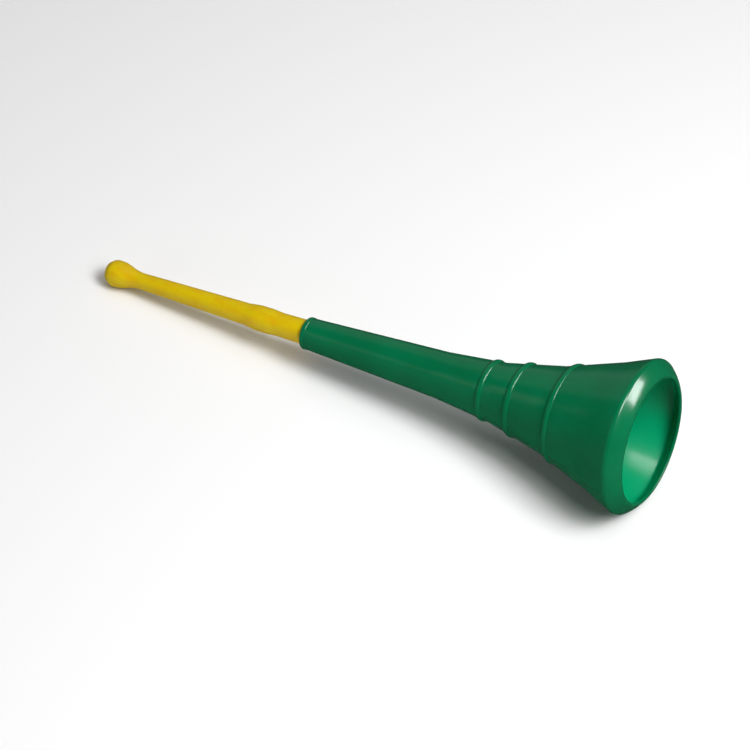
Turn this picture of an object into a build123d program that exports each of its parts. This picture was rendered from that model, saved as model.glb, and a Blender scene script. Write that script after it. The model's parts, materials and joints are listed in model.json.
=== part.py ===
"""Collapsible two-piece stadium horn, blown by mouth, lying on its side with the tube pulled out.

The horn is a moulded bell that tapers back to a small collar, and a moulded mouthpiece tube
that slides through the collar.  Both are bodies of revolution about one axis.  Along that axis
"station" is the distance in millimetres from the mouth plane back towards the mouthpiece.
The horn rests on the floor (z = 0) on the rim of its bell and on its mouthpiece knob, so the
axis dips slightly towards the mouthpiece.  +X points from the mouthpiece to the bell.
"""
import os
from math import asin, atan, atan2, cos, degrees, hypot, radians, sin, sqrt, tan

from build123d import *

# ---- driving dimensions, millimetres and degrees ----

# bell: an inturned band from the mouth to the rim, then a straight cone
BELL_DIAMETER = 140.0          # over the rounded rim
MOUTH_RADIUS = 59.1            # outer edge of the lip
RIM_STATION = 11.0             # sharp corner that the rim rounds off
RIM_ROUND = 4.7
CONE_ANGLE = 22.5
WALL = 2.0

# tapered tube of the bell piece, its flare and its collar
COLLAR_STATION = 348.0         # small end of the bell piece
COLLAR_RADIUS = 14.45
HORN_TUBE_ANGLE = 2.85
FLARE_RADIUS = 497.0           # arc that joins the tube to the cone
BEAD_LENGTH = 5.0              # rounded bead around the small end
BEAD_OUTER_RADIUS = 15.1
BORE_RADIUS = 12.1             # inside the bead, where the mouthpiece tube slides

# flat lip around the mouth
LIP_LENGTH = 2.4
LIP_WIDTH = 3.0
LIP_ROUND = 0.7

# raised rings around the flare: (station, height)
RINGS = ((82.8, 1.5), (126.9, 1.7), (157.4, 1.6))
RING_HALF_WIDTH = 3.0

# mouthpiece tube: one straight taper from its neck to its open tail
NECK_STATION = 528.0
NECK_RADIUS = 7.75
TAIL_STATION = 135.5
TUBE_ANGLE = 1.23
TUBE_WALL = 1.8

# swelling just outside the collar
BULGE_RADIUS = 11.8
BULGE_FROM = 377.0
BULGE_FLAT_FROM = 387.0
BULGE_FLAT_TO = 400.5
BULGE_TO = 412.5
BULGE_ROUND = 28.0

# fine raised rings near the tail: (distance from the tail, height)
RIDGES = ((33.0, 0.5), (40.0, 0.5), (47.0, 0.5), (63.0, 0.3))
RIDGE_HALF_WIDTH = 1.4

# mouthpiece knob and its cup
KNOB_RADIUS = 12.7
KNOB_FLANK_FROM = 536.0
KNOB_FLANK_TO = 549.7
FLANK_ROUND = 44.0             # hollow curve from the neck into the flank
KNOB_ROUND = 35.0              # full curve from the flank onto the knob
NOSE_STATION = 560.5           # corner where the knob turns towards its lip
NOSE_ROUND = 8.0
CUP_STATION = 566.3            # crest of the cup's lip
CUP_CREST_RADIUS = 8.5
CUP_LIP_ROUND = 1.2
CUP_MOUTH_RADIUS = 7.2
CUP_DEPTH = 10.0
THROAT_RADIUS = 4.0
THROAT_LENGTH = 5.0

# ---- shape of the bell piece, worked out from those dimensions ----

cone = radians(CONE_ANGLE)
horn_tube = radians(HORN_TUBE_ANGLE)


def band_start(band):
    """Where a band of this slope leaves the lip's rounded front corner, which it is tangent to."""
    return LIP_ROUND * (1 - sin(band)), MOUTH_RADIUS - LIP_ROUND * (1 - cos(band))


def rim_corner():
    """Return the band's slope and the sharp corner that leaves BELL_DIAMETER once rounded."""
    band = radians(45.0)
    for _ in range(30):
        start_station, start_radius = band_start(band)
        excess = (sin(cone) + sin(band)) / sin(cone + band) - 1
        corner_radius = BELL_DIAMETER / 2 + RIM_ROUND * excess
        band = atan2(corner_radius - start_radius, RIM_STATION - start_station)
    return band, corner_radius


band_angle, rim_corner_radius = rim_corner()
rim_centre_station = RIM_STATION - RIM_ROUND * (cos(band_angle) - cos(cone)) / sin(cone + band_angle)
rim_centre_radius = BELL_DIAMETER / 2 - RIM_ROUND

# corner where the cone's line meets the tube's line, under the flare
flare_corner_station = (
    rim_corner_radius + RIM_STATION * tan(cone) - COLLAR_RADIUS - COLLAR_STATION * tan(horn_tube)
) / (tan(cone) - tan(horn_tube))
flare_corner_radius = COLLAR_RADIUS + (COLLAR_STATION - flare_corner_station) * tan(horn_tube)

# the flare's arc: where it leaves the cone, where it meets the tube, and its centre
flare_tangent = FLARE_RADIUS * tan((cone - horn_tube) / 2)
flare_start = flare_corner_station - flare_tangent * cos(cone)
flare_end = flare_corner_station + flare_tangent * cos(horn_tube)
flare_centre_station = flare_start + FLARE_RADIUS * sin(cone)
flare_centre_radius = flare_corner_radius + flare_tangent * sin(cone) + FLARE_RADIUS * cos(cone)


def horn_surface(station):
    """Outer radius of the bell piece at a station, and the surface's angle there in degrees."""
    if station < flare_start:
        return rim_corner_radius - (station - RIM_STATION) * tan(cone), -CONE_ANGLE
    if station > flare_end:
        return COLLAR_RADIUS + (COLLAR_STATION - station) * tan(horn_tube), -HORN_TUBE_ANGLE
    along = station - flare_centre_station
    height = sqrt(FLARE_RADIUS**2 - along**2)
    return flare_centre_radius - height, degrees(atan(along / height))


# ---- shape of the mouthpiece tube ----

tube_slope = tan(radians(TUBE_ANGLE))


def tube_radius(station):
    """Outer radius of the mouthpiece tube's plain taper."""
    return NECK_RADIUS + (NECK_STATION - station) * tube_slope


# ---- how the horn lies: the floor touches the bell's rim and the nose of the knob ----

nose_turn = atan2(KNOB_RADIUS - CUP_CREST_RADIUS, CUP_STATION - NOSE_STATION)
nose_centre_station = NOSE_STATION - NOSE_ROUND * tan(nose_turn / 2)
nose_centre_radius = KNOB_RADIUS - NOSE_ROUND

contact_span = nose_centre_station - rim_centre_station
contact_drop = rim_centre_radius - nose_centre_radius
tilt = atan2(contact_drop, contact_span) + asin(
    (RIM_ROUND - NOSE_ROUND) / hypot(contact_span, contact_drop)
)
mouth_height = rim_centre_station * sin(tilt) + rim_centre_radius * cos(tilt) + RIM_ROUND

# the origin is midway between the two ends, on the floor
reach_forward = (MOUTH_RADIUS - LIP_ROUND) * sin(tilt) + LIP_ROUND * (1 - cos(tilt))
reach_back = (CUP_STATION - CUP_LIP_ROUND) * cos(tilt) + (CUP_CREST_RADIUS - CUP_LIP_ROUND) * sin(
    tilt
) + CUP_LIP_ROUND
mouth_x = (reach_back - reach_forward) / 2

mouth_centre = Vector(mouth_x, 0, mouth_height)
backwards = Vector(-cos(tilt), 0, -sin(tilt))
profile_plane = Plane(origin=mouth_centre, x_dir=backwards, z_dir=(0, 1, 0))
horn_axis = Axis(mouth_centre, backwards)


# ---- the bell piece ----

with BuildPart() as horn_bell:
    with BuildSketch(profile_plane):
        # the wall, drawn along its outer face and thickened inwards
        with BuildLine():
            FilletPolyline(
                band_start(band_angle),
                (RIM_STATION, rim_corner_radius),
                (flare_corner_station, flare_corner_radius),
                (COLLAR_STATION - BEAD_LENGTH / 2, horn_surface(COLLAR_STATION - BEAD_LENGTH / 2)[0]),
                radius=[RIM_ROUND, FLARE_RADIUS],
            )
            offset(amount=WALL, side=Side.RIGHT)
        make_face()
        # lip around the mouth
        with Locations((LIP_LENGTH / 2, MOUTH_RADIUS - LIP_WIDTH / 2)):
            RectangleRounded(LIP_LENGTH, LIP_WIDTH, LIP_ROUND)
        # bead around the small end, which narrows the bore
        with Locations((COLLAR_STATION - BEAD_LENGTH / 2, (BEAD_OUTER_RADIUS + BORE_RADIUS) / 2)):
            bead_width = BEAD_OUTER_RADIUS - BORE_RADIUS
            RectangleRounded(BEAD_LENGTH, bead_width, 0.49 * bead_width)
        # raised rings
        for station, height in RINGS:
            radius, angle = horn_surface(station)
            with Locations((station, radius)):
                Ellipse(RING_HALF_WIDTH, height, rotation=angle)
    revolve(axis=horn_axis)
horn_bell.part.label = "horn_bell"

# ---- the mouthpiece tube ----

tail_outer_radius = tube_radius(TAIL_STATION)
tail_round = TUBE_WALL / 2

with BuildPart() as mouthpiece_tube:
    with BuildSketch(profile_plane):
        with BuildLine():
            outside = FilletPolyline(
                (TAIL_STATION + tail_round, tube_radius(TAIL_STATION + tail_round)),
                (BULGE_FROM, tube_radius(BULGE_FROM)),
                (BULGE_FLAT_FROM, BULGE_RADIUS),
                (BULGE_FLAT_TO, BULGE_RADIUS),
                (BULGE_TO, tube_radius(BULGE_TO)),
                (KNOB_FLANK_FROM, tube_radius(KNOB_FLANK_FROM)),
                (KNOB_FLANK_TO, KNOB_RADIUS),
                (NOSE_STATION, KNOB_RADIUS),
                (CUP_STATION, CUP_CREST_RADIUS),
                (CUP_STATION - CUP_LIP_ROUND, CUP_MOUTH_RADIUS),
                radius=[
                    BULGE_ROUND,
                    BULGE_ROUND,
                    BULGE_ROUND,
                    BULGE_ROUND,
                    FLANK_ROUND,
                    KNOB_ROUND,
                    NOSE_ROUND,
                    CUP_LIP_ROUND / 2,
                ],
            )
            # cup, throat and the straight taper of the inside
            throat_station = CUP_STATION - CUP_DEPTH
            bore_start = throat_station - THROAT_LENGTH
            cup = Spline(
                outside @ 1,
                (throat_station, THROAT_RADIUS),
                tangents=((-1, -0.2), (-1, -0.15)),
            )
            throat = Line(cup @ 1, (bore_start, THROAT_RADIUS))
            neck_bore = Line(throat @ 1, (NECK_STATION, NECK_RADIUS - TUBE_WALL))
            bore = Line(
                neck_bore @ 1,
                (TAIL_STATION + tail_round, tube_radius(TAIL_STATION + tail_round) - TUBE_WALL),
            )
            ThreePointArc(bore @ 1, (TAIL_STATION, tail_outer_radius - tail_round), outside @ 0)
        make_face()
        for distance, height in RIDGES:
            station = TAIL_STATION + distance
            with Locations((station, tube_radius(station))):
                Ellipse(RIDGE_HALF_WIDTH, height, rotation=-TUBE_ANGLE)
    revolve(axis=horn_axis)
mouthpiece_tube.part.label = "mouthpiece_tube"

# ---- write the pieces ----

os.makedirs("parts", exist_ok=True)
for piece, name in ((horn_bell, "horn_bell"), (mouthpiece_tube, "mouthpiece_tube")):
    export_step(piece.part, f"parts/{name}.step")

print("tilt of the axis, degrees:", round(degrees(tilt), 3))
print("centre of the mouth:", round(mouth_centre.X, 3), round(mouth_centre.Z, 3))
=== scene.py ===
"""Looks of a collapsible two-piece stadium horn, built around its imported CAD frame.

Two lathe-turned shells stand for the two CAD pieces: the green bell and the yellow mouthpiece
tube.  They follow the CAD outline and add what the CAD leaves out: softened rings, the crowned
band behind the lip, the groove beside the collar's bead and the mould's parting lines.

Along the horn's axis "station" is the distance in millimetres from the mouth plane back towards
the mouthpiece, and an outline is a list of (station, radius) points.
"""
import json
from math import atan2, cos, pi, radians, sin, tan

import bpy
from mathutils import Matrix, Vector


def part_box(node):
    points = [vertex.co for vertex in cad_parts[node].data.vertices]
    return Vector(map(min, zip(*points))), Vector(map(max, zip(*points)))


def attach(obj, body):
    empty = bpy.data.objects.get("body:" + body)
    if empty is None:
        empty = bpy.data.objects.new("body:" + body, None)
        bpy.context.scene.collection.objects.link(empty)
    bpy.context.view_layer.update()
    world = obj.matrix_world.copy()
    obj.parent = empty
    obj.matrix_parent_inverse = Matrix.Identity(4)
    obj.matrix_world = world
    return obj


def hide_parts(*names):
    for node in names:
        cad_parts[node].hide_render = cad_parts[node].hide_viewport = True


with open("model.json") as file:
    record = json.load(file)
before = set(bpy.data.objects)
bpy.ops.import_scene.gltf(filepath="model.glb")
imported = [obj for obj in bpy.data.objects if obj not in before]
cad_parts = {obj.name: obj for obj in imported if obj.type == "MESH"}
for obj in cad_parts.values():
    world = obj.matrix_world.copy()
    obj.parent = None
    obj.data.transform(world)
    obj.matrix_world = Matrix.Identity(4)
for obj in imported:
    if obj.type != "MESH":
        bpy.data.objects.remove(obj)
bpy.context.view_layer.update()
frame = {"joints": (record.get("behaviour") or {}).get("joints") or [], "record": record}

MM = 0.001

# ---- driving dimensions, millimetres and degrees, as in the CAD ----

bell_low, bell_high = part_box("horn_bell")
RIM_RADIUS = (bell_high.y - bell_low.y) / 2 / MM
MOUTH_RADIUS = 59.1
RIM_STATION = 11.0
RIM_ROUND = 4.7
CONE_ANGLE = radians(22.5)
WALL = 2.0
COLLAR_STATION = 348.0
COLLAR_RADIUS = 14.45
HORN_TUBE_ANGLE = radians(2.85)
FLARE_RADIUS = 497.0
BEAD_LENGTH = 5.0
BEAD_OUTER_RADIUS = 15.1
BORE_RADIUS = 12.1
LIP_LENGTH = 2.4
LIP_WIDTH = 3.0
LIP_ROUND = 0.7
RINGS = ((82.8, 1.5), (126.9, 1.7), (157.4, 1.6))
RING_HALF_WIDTH = 3.0
RING_CROWN = 0.62              # power that gives the rings a full crown and a soft foot
BAND_CROWN = 0.5               # how far the middle of the band swells out

NECK_STATION = 528.0
NECK_RADIUS = 7.75
TAIL_STATION = 135.5
TUBE_SLOPE = tan(radians(1.23))
TUBE_WALL = 1.8
BULGE_RADIUS = 11.8
BULGE_CORNERS = (377.0, 387.0, 400.5, 412.5)
BULGE_ROUND = 28.0
RIDGES = ((33.0, 0.5), (40.0, 0.5), (47.0, 0.5), (63.0, 0.3))
RIDGE_HALF_WIDTH = 1.4
KNOB_RADIUS = 12.7
KNOB_FLANK_FROM = 536.0
KNOB_FLANK_TO = 549.7
FLANK_ROUND = 44.0
KNOB_ROUND = 35.0
NOSE_STATION = 560.5
NOSE_ROUND = 8.0
CUP_STATION = 566.3
CUP_CREST_RADIUS = 8.5
CUP_LIP_ROUND = 0.6
CUP_MOUTH_RADIUS = 7.2
CUP_DEPTH = 10.0
THROAT_RADIUS = 4.0
THROAT_LENGTH = 5.0

# parting lines, where the mould's two halves met
SEAM_ANGLE = radians(50)       # from the top towards +Y
SEAM_OFFSETS = (0.0, 0.14, 0.3, 0.6)
SEAM_BLEND = 9                 # columns over which the even spacing is reached again
BELL_FLASH = 0.1               # how far the line stands up
TUBE_FLASH = 0.06
TUBE_FLASH_FROM = 345
TUBE_FLASH_TO = 560

# how finely the shells are divided
BELL_COLUMNS = 320
TUBE_COLUMNS = 160
CROWN_STEPS = 14
RING_STEPS = 11
RIDGE_STEPS = 6
CUP_STEPS = 10

SOFTBOX_DISTANCE = 2.6         # metres

# ---- the horn's own directions, from the frame ----

mounts = {mount["name"]: mount for mount in frame["record"]["mounts"]}
lip_point = Vector(mounts["mouth_lip"]["pos_m"])
mouth_centre = Vector((lip_point.x, 0, lip_point.z))
forward = Vector(frame["joints"][0]["axis"]).normalized()
sideways = Vector((0, 1, 0))
upward = forward.cross(sideways)


def place(station, radius, angle):
    """Point at a station and radius in millimetres, turned by angle from the top towards +Y."""
    outward = upward * cos(angle) + sideways * sin(angle)
    return mouth_centre + (outward * radius - forward * station) * MM


# ---- outlines ----

ARC_STEP = radians(6)          # turn between two points of a rounded corner
LINE_STEP = 7.0                # longest straight run between two points


def rounded(corners):
    """Outline through (station, radius, round) corners, each corner rounded with an arc."""
    points = [Vector(corners[0][:2])]
    for before, corner, after in zip(corners, corners[1:], corners[2:]):
        here = Vector(corner[:2])
        arriving = (here - Vector(before[:2])).normalized()
        leaving = (Vector(after[:2]) - here).normalized()
        turn = arriving.angle_signed(leaving)
        tangent = corner[2] * tan(abs(turn) / 2)
        start = here - arriving * tangent
        side = 1 if turn > 0 else -1
        centre = start + Vector((arriving.y, -arriving.x)) * side * corner[2]
        steps = max(2, round(abs(turn) / ARC_STEP))
        for step in range(steps + 1):
            spoke = start - centre
            spoke.rotate(Matrix.Rotation(-turn * step / steps, 2))
            points.append(centre + spoke)
    points.append(Vector(corners[-1][:2]))
    return points


def subdivided(points, longest=LINE_STEP):
    """The same outline with its long straight runs divided."""
    result = [points[0]]
    for before, after in zip(points, points[1:]):
        parts = max(1, round((after - before).length / longest))
        for part in range(1, parts + 1):
            result.append(before.lerp(after, part / parts))
    return result


def arc(centre, radius, from_angle, to_angle):
    """Points of an arc about (station, radius), angles measured from +station towards +radius."""
    steps = max(2, round(abs(to_angle - from_angle) / ARC_STEP))
    angles = [from_angle + (to_angle - from_angle) * step / steps for step in range(steps + 1)]
    return [Vector((centre[0] + radius * cos(t), centre[1] + radius * sin(t))) for t in angles]


# ---- the bell's outline ----

def rim_corner():
    """Band slope and sharp corner that leave the rim's radius once the corner is rounded."""
    band = radians(45)
    for _ in range(30):        # far more rounds than it needs to settle
        start_station = LIP_ROUND * (1 - sin(band))
        start_radius = MOUTH_RADIUS - LIP_ROUND * (1 - cos(band))
        excess = (sin(CONE_ANGLE) + sin(band)) / sin(CONE_ANGLE + band) - 1
        corner_radius = RIM_RADIUS + RIM_ROUND * excess
        band = atan2(corner_radius - start_radius, RIM_STATION - start_station)
    return band, corner_radius


band_angle, rim_corner_radius = rim_corner()
flare_corner_station = (
    rim_corner_radius + RIM_STATION * tan(CONE_ANGLE)
    - COLLAR_RADIUS - COLLAR_STATION * tan(HORN_TUBE_ANGLE)
) / (tan(CONE_ANGLE) - tan(HORN_TUBE_ANGLE))
flare_corner_radius = COLLAR_RADIUS + (COLLAR_STATION - flare_corner_station) * tan(HORN_TUBE_ANGLE)


def with_crown(points):
    """The outer outline with its straight band, the run between its first two points, swelled."""
    start, end = points[:2]
    along = (end - start).normalized()
    outward = Vector((-along.y, along.x))
    crown = []
    for step in range(CROWN_STEPS):
        share = step / CROWN_STEPS
        swell = BAND_CROWN * 4 * share * (1 - share)
        crown.append(start.lerp(end, share) + outward * swell)
    return crown + points[1:]


def bell_wall(points):
    """The wall's inner side: the outer points moved inwards by the wall, in reverse order."""
    inner = []
    for before, here, after in zip([points[0]] + points, points, points[1:] + [points[-1]]):
        along = (after - before).normalized()
        inner.append(here + Vector((along.y, -along.x)) * WALL)
    return inner[::-1]


def ring_height(station):
    """How far the raised rings lift the outer surface at a station."""
    lift = 0.0
    for ring_station, height in RINGS:
        across = abs(station - ring_station) / RING_HALF_WIDTH
        if across < 1:
            lift += height * (1 - across**2) ** RING_CROWN
    return lift


def with_rings(points):
    """The outer outline with extra points at each ring, lifted by its height."""
    lifted = []
    for before, after in zip(points, points[1:]):
        lifted.append(before)
        inside = []
        for ring_station, _ in RINGS:
            for step in range(-RING_STEPS, RING_STEPS + 1):
                station = ring_station + RING_HALF_WIDTH * sin(step / RING_STEPS * pi / 2)
                if before.x < station < after.x:
                    inside.append(before.lerp(after, (station - before.x) / (after.x - before.x)))
        lifted += sorted(inside, key=lambda point: point.x)
    lifted.append(points[-1])
    result = []
    for before, here, after in zip([lifted[0]] + lifted, lifted, lifted[1:] + [lifted[-1]]):
        along = (after - before).normalized()
        result.append(here + Vector((-along.y, along.x)) * ring_height(here.x))
    return result


def bell_outline():
    """Closed outline of the bell, and how many of its points are on the outside."""
    lip_centre = Vector((LIP_ROUND, MOUTH_RADIUS - LIP_ROUND))
    band_start = lip_centre + Vector((-sin(band_angle), cos(band_angle))) * LIP_ROUND
    tube_end = COLLAR_STATION - BEAD_LENGTH
    plain = rounded([
        (*band_start, 0),
        (RIM_STATION, rim_corner_radius, RIM_ROUND),
        (flare_corner_station, flare_corner_radius, FLARE_RADIUS),
        (tube_end, COLLAR_RADIUS + BEAD_LENGTH * tan(HORN_TUBE_ANGLE), 0),
    ])
    inner_side = bell_wall(subdivided(plain))
    outside = with_rings(subdivided(with_crown(plain)))
    bead_radius = (BEAD_OUTER_RADIUS - BORE_RADIUS) / 2
    bead_middle = BEAD_OUTER_RADIUS - bead_radius
    bead = (
        arc((tube_end + bead_radius, bead_middle), bead_radius, radians(150), radians(90))
        + arc((COLLAR_STATION - bead_radius, bead_middle), bead_radius, radians(90), radians(-90))
        + arc((tube_end + bead_radius, bead_middle), bead_radius, radians(-90), radians(-120))
    )
    lip_back = LIP_LENGTH - LIP_ROUND
    lip_inner = MOUTH_RADIUS - LIP_WIDTH + LIP_ROUND
    inner_side = [point for point in inner_side if point.x > LIP_LENGTH + 1.2]
    lip = (
        arc((lip_back, lip_inner), LIP_ROUND, radians(20), radians(-90))
        + arc((LIP_ROUND, lip_inner), LIP_ROUND, radians(-90), radians(-180))
        + arc(lip_centre, LIP_ROUND, radians(180), pi / 2 + band_angle)
    )
    return outside + bead + inner_side + lip[:-1], len(outside) + len(bead) // 2


# ---- the mouthpiece tube's outline ----

def tube_radius(station):
    return NECK_RADIUS + (NECK_STATION - station) * TUBE_SLOPE


def ridge_height(station):
    """How far the fine rings near the tail lift the tube's surface."""
    for distance, height in RIDGES:
        across = abs(station - TAIL_STATION - distance) / RIDGE_HALF_WIDTH
        if across < 1:
            return height * (1 - across**2)
    return 0.0


def tube_outline():
    """Closed outline of the mouthpiece tube, and how many of its points are on the outside."""
    tail_round = TUBE_WALL / 2
    tail_start = TAIL_STATION + tail_round
    ridges = []
    for distance, _ in RIDGES:
        for step in range(-RIDGE_STEPS, RIDGE_STEPS + 1):
            station = TAIL_STATION + distance + RIDGE_HALF_WIDTH * step / RIDGE_STEPS
            ridges.append(Vector((station, tube_radius(station) + ridge_height(station))))
    swell_from, flat_from, flat_to, swell_to = BULGE_CORNERS
    body = rounded([
        (ridges[-1].x + 1, tube_radius(ridges[-1].x + 1), 0),
        (swell_from, tube_radius(swell_from), BULGE_ROUND),
        (flat_from, BULGE_RADIUS, BULGE_ROUND),
        (flat_to, BULGE_RADIUS, BULGE_ROUND),
        (swell_to, tube_radius(swell_to), BULGE_ROUND),
        (KNOB_FLANK_FROM, tube_radius(KNOB_FLANK_FROM), FLANK_ROUND),
        (KNOB_FLANK_TO, KNOB_RADIUS, KNOB_ROUND),
        (NOSE_STATION, KNOB_RADIUS, NOSE_ROUND),
        (CUP_STATION, CUP_CREST_RADIUS, CUP_LIP_ROUND),
        (CUP_STATION - 1.2, CUP_MOUTH_RADIUS, 0),
    ])
    outside = subdivided([Vector((tail_start, tube_radius(tail_start)))] + ridges + body)
    throat_station = CUP_STATION - CUP_DEPTH
    cup = []
    for step in range(1, CUP_STEPS + 1):
        share = step / CUP_STEPS
        bowl = sin(share * pi / 2) ** 2 * 0.75 + share * 0.25
        cup.append(Vector((
            CUP_STATION - 1.2 - (CUP_DEPTH - 1.2) * share,
            CUP_MOUTH_RADIUS + (THROAT_RADIUS - CUP_MOUTH_RADIUS) * bowl,
        )))
    inside = subdivided(cup + [
        Vector((throat_station - THROAT_LENGTH, THROAT_RADIUS)),
        Vector((NECK_STATION, NECK_RADIUS - TUBE_WALL)),
        Vector((tail_start, tube_radius(tail_start) - TUBE_WALL)),
    ])
    tail = arc((tail_start, tube_radius(tail_start) - tail_round), tail_round, radians(270), radians(90))
    return outside + inside + tail[1:-1], len(outside)


# ---- lathe ----

def column_angle(column, columns, radius):
    """Angle of a column, crowded together in millimetres at the two parting lines."""
    half = columns // 2
    nearest = round(column / half) * half
    steps = column - nearest
    spacing = 2 * pi / columns
    even = spacing * abs(steps)
    if abs(steps) < len(SEAM_OFFSETS):
        even = SEAM_OFFSETS[abs(steps)] / radius
    elif abs(steps) < SEAM_BLEND:
        last = len(SEAM_OFFSETS) - 1
        share = (abs(steps) - last) / (SEAM_BLEND - last)
        even = SEAM_OFFSETS[last] / radius * (1 - share) + spacing * SEAM_BLEND * share
    return SEAM_ANGLE + nearest * spacing + (even if steps >= 0 else -even)


def lathe(name, outline, columns, flash, flash_limits):
    """Mesh of revolution.  A fine flash of mould runs along both parting lines of the outside.

    The "inside" attribute marks the faces of the bore, for the materials.
    """
    from_station, to_station, outside = flash_limits
    count = len(outline)
    vertices = []
    inside = []
    for row, point in enumerate(outline):
        along = (outline[(row + 1) % count] - outline[row - 1]).normalized()
        normal = Vector((-along.y, along.x))
        raised = row < outside and from_station < point.x < to_station
        inside += [float(normal.y < -0.3 and point.x > 4)] * columns
        for column in range(columns):
            near = min(column % (columns // 2), -column % (columns // 2))
            lift = flash if raised and near == 0 else flash * 0.7 if raised and near == 1 else 0
            spot = point + normal * lift
            vertices.append(place(spot.x, spot.y, column_angle(column, columns, point.y)))
    faces = []
    for row in range(count):
        for column in range(columns):
            beside = (column + 1) % columns
            below = (row + 1) % count
            faces.append((
                row * columns + column,
                row * columns + beside,
                below * columns + beside,
                below * columns + column,
            ))
    mesh = bpy.data.meshes.new(name)
    mesh.from_pydata(vertices, [], faces)
    mesh.polygons.foreach_set("use_smooth", [True] * len(faces))
    mesh.attributes.new("inside", "FLOAT", "POINT").data.foreach_set("value", inside)
    mesh.update()
    piece = bpy.data.objects.new(name, mesh)
    bpy.context.scene.collection.objects.link(piece)
    weighted = piece.modifiers.new("even_shading", "WEIGHTED_NORMAL")
    weighted.weight = 80
    return piece


bell_points, bell_outside = bell_outline()
bell_flash_limits = (2, COLLAR_STATION - 1, bell_outside)
bell = lathe("bell_shell", bell_points, BELL_COLUMNS, BELL_FLASH, bell_flash_limits)
tube_points, tube_outside = tube_outline()
tube_flash_limits = (TUBE_FLASH_FROM, TUBE_FLASH_TO, tube_outside)
tube = lathe("mouthpiece_shell", tube_points, TUBE_COLUMNS, TUBE_FLASH, tube_flash_limits)


# ---- materials ----

class Finish:
    """A Principled material with a few short ways to add procedural detail."""

    def __init__(self, name):
        self.material = bpy.data.materials.new(name)
        self.material.use_nodes = True
        self.tree = self.material.node_tree
        self.shader = self.tree.nodes["Principled BSDF"]
        self.position = self.tree.nodes.new("ShaderNodeTexCoord").outputs["Object"]

    def node(self, kind, **values):
        made = self.tree.nodes.new("ShaderNode" + kind)
        for key, value in values.items():
            setattr(made, key, value)
        return made

    def link(self, source, target):
        self.tree.links.new(source, target)

    def along_horn(self, along, across):
        """Coordinates scaled along X, which is 6 degrees off the horn's axis, and across X.

        The mapping scales before it turns, so what is stretched follows X and not the axis itself.
        """
        mapping = self.node("Mapping")
        mapping.inputs["Rotation"].default_value = (0, atan2(forward.z, forward.x), 0)
        mapping.inputs["Scale"].default_value = (along, across, across)
        self.link(self.position, mapping.inputs["Vector"])
        return mapping.outputs["Vector"]

    def noise(self, along, across, detail=3.0, roughness=0.5):
        """Noise in cycles per metre along the horn and across it."""
        made = self.node("TexNoise")
        made.inputs["Scale"].default_value = 1.0
        made.inputs["Detail"].default_value = detail
        made.inputs["Roughness"].default_value = roughness
        self.link(self.along_horn(along, across), made.inputs["Vector"])
        return made.outputs["Fac"]

    def spread(self, source, low, high, to_low, to_high):
        """Source mapped from low..high to to_low..to_high, clamped."""
        made = self.node("MapRange")
        for key, value in (("From Min", low), ("From Max", high), ("To Min", to_low), ("To Max", to_high)):
            made.inputs[key].default_value = value
        self.link(source, made.inputs["Value"])
        return made.outputs["Result"]

    def blend(self, share, first, second):
        """Mix of two colours, each a plain colour or a socket."""
        made = self.node("Mix", data_type="RGBA")
        self.link(share, made.inputs["Factor"])
        for side, colour in (("A", first), ("B", second)):
            socket = [s for s in made.inputs if s.name == side and s.type == "RGBA"][0]
            if isinstance(colour, tuple):
                socket.default_value = (*colour, 1)
            else:
                self.link(colour, socket)
        return [s for s in made.outputs if s.type == "RGBA"][0]

    def bump(self, layers):
        """Chain of bumps from (height, distance in metres) layers."""
        normal = None
        for height, distance in layers:
            made = self.node("Bump")
            made.inputs["Distance"].default_value = distance
            self.link(height, made.inputs["Height"])
            if normal:
                self.link(normal, made.inputs["Normal"])
            normal = made.outputs["Normal"]
        self.link(normal, self.shader.inputs["Normal"])

    def set(self, **values):
        for key, value in values.items():
            self.shader.inputs[key.replace("_", " ")].default_value = value


def green_plastic():
    """Glossy green polyethylene with faint clouds and flow lines along the horn.

    The bell's inside is set a lighter green than its outside.  It stands in for light that comes
    through the thin wall, and isn't a second colour of plastic.
    """
    finish = Finish("green_plastic")
    finish.set(IOR=1.5, Specular_IOR_Level=0.5)
    clouds = finish.spread(finish.noise(22, 22, 4), 0.3, 0.7, 0, 1)
    flow = finish.spread(finish.noise(9, 170, 3), 0.35, 0.7, 0, 1)
    colour = finish.blend(clouds, (0.0, 0.124, 0.044), (0.0, 0.153, 0.057))
    dimmed = finish.spread(flow, 0, 1, 0.0, 0.14)
    colour = finish.blend(dimmed, colour, (0.0, 0.093, 0.038))
    edge = finish.node("NewGeometry").outputs["Pointiness"]
    worn = finish.spread(edge, 0.52, 0.6, 0, 0.25)
    colour = finish.blend(worn, colour, (0.0, 0.24, 0.11))
    inside = finish.node("Attribute", attribute_name="inside").outputs["Fac"]
    colour = finish.blend(finish.spread(inside, 0, 1, 0, 0.85), colour, (0.0, 0.33, 0.14))
    finish.link(colour, finish.shader.inputs["Base Color"])
    skin = finish.noise(900, 900, 2)
    # the range stops at 0.26, as one that reached 0.3 drew pale outlines around its patches
    patches = finish.spread(finish.noise(35, 35, 4), 0.3, 0.7, 0.18, 0.26)
    finish.link(patches, finish.shader.inputs["Roughness"])
    waves = finish.noise(40, 55, 2)
    finish.bump(((waves, 0.00005), (flow, 0.00001), (skin, 0.00001)))
    return finish.material


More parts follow.
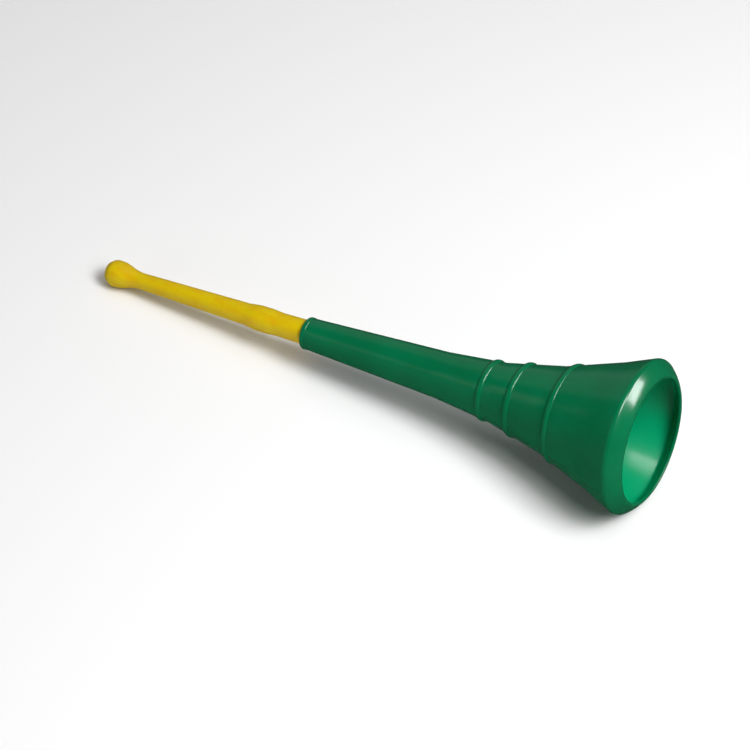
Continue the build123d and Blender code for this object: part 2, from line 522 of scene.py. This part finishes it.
def yellow_plastic():
    """Satin yellow polyethylene, mottled with orange where the pigment is uneven."""
    finish = Finish("yellow_plastic")
    finish.set(IOR=1.5, Specular_IOR_Level=0.3)
    mottling = finish.spread(finish.noise(70, 110, 4, 0.6), 0.42, 0.68, 0, 1)
    flow = finish.spread(finish.noise(12, 260, 3), 0.4, 0.7, 0, 0.3)
    colour = finish.blend(mottling, (0.66, 0.475, 0.0), (0.65, 0.39, 0.0))
    colour = finish.blend(flow, colour, (0.53, 0.41, 0.0))
    finish.link(colour, finish.shader.inputs["Base Color"])
    skin = finish.noise(700, 700, 3)
    patches = finish.spread(finish.noise(60, 60, 4), 0.3, 0.7, 0.38, 0.5)
    finish.link(patches, finish.shader.inputs["Roughness"])
    finish.bump(((finish.noise(60, 90, 2), 0.00012), (skin, 0.00003)))
    return finish.material


bell.data.materials.append(green_plastic())
tube.data.materials.append(yellow_plastic())

# ---- the pieces take the place of the CAD nodes and move with their bodies ----

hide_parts("horn_bell")
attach(bell, "bell")
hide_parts("mouthpiece_tube")
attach(tube, "mouthpiece")

# ---- floor, light and camera ----


def pale_floor():
    """Large matt white table that the horn lies on."""
    mesh = bpy.data.meshes.new("floor")
    reach = 6.0
    corners = [(-reach, -reach, 0), (reach, -reach, 0), (reach, reach, 0), (-reach, reach, 0)]
    mesh.from_pydata(corners, [], [(0, 1, 2, 3)])
    floor = bpy.data.objects.new("floor", mesh)
    bpy.context.scene.collection.objects.link(floor)
    finish = Finish("floor_white")
    finish.set(Base_Color=(0.9, 0.9, 0.9, 1), Roughness=0.7)
    mesh.materials.append(finish.material)
    # left out of the plastic's reflections, which a real table wouldn't be, to keep the green deep
    floor.visible_glossy = False


def direction(azimuth, elevation):
    """Unit vector at an azimuth from +X towards +Y and an elevation, both in degrees."""
    turn, rise = radians(azimuth), radians(elevation)
    return Vector((cos(turn) * cos(rise), sin(turn) * cos(rise), sin(rise)))


def softbox(name, azimuth, elevation, width, height, power, lights=True, mirrored=True):
    """Area light that looks at the bell's mouth from a direction.

    One that isn't mirrored brightens the horn without showing in its gloss, and one that
    doesn't light only shows in its gloss.
    """
    light = bpy.data.lights.new(name, "AREA")
    light.shape = "RECTANGLE"
    light.size = width
    light.size_y = height
    light.energy = power
    lamp = bpy.data.objects.new(name, light)
    towards = direction(azimuth, elevation)
    lamp.location = mouth_centre + towards * SOFTBOX_DISTANCE
    lamp.rotation_euler = towards.to_track_quat("Z", "Y").to_euler()
    lamp.visible_diffuse = lights
    lamp.visible_glossy = mirrored
    bpy.context.scene.collection.objects.link(lamp)


pale_floor()
softbox("key", -6, 60, 1.1, 1.1, 44)
softbox("daylight", -20, 48, 1.4, 1.0, 42, mirrored=False)
softbox("window", 31, 36, 1.3, 0.9, 66, lights=False)
softbox("backdrop", 140, 24, 2.8, 2.0, 3.4)
softbox("strip", -150, 27, 1.3, 0.5, 0.9)
softbox("fill", -125, 8, 1.6, 1.2, 13, mirrored=False)
softbox("overhead", 100, 78, 2.4, 2.4, 22, mirrored=False)

world = bpy.data.worlds.new("dim_room")
world.use_nodes = True
world.node_tree.nodes["Background"].inputs["Color"].default_value = (1, 1, 1, 1)
world.node_tree.nodes["Background"].inputs["Strength"].default_value = 0.03
bpy.context.scene.world = world
bpy.context.scene.view_settings.view_transform = "Standard"

# The camera looks down on the horn from its side.  The mouth's centre is right of and below the
# middle of the view.
CAMERA_AZIMUTH = radians(30.16)
CAMERA_ELEVATION = radians(44.0)
CAMERA_DISTANCE = 2.5729
MOUTH_RIGHT = 0.2376
MOUTH_BELOW = 0.0564
CAMERA_LENS = 144

camera_data = bpy.data.cameras.new("camera")
camera_data.lens = CAMERA_LENS
camera = bpy.data.objects.new("camera", camera_data)
bpy.context.scene.collection.objects.link(camera)
turned = Matrix.Rotation(CAMERA_AZIMUTH, 3, "Z") @ Matrix.Rotation(pi / 2 - CAMERA_ELEVATION, 3, "X")
camera.rotation_euler = turned.to_euler()
camera.location = mouth_centre + turned @ Vector((-MOUTH_RIGHT, MOUTH_BELOW, CAMERA_DISTANCE))
bpy.context.scene.camera = camera
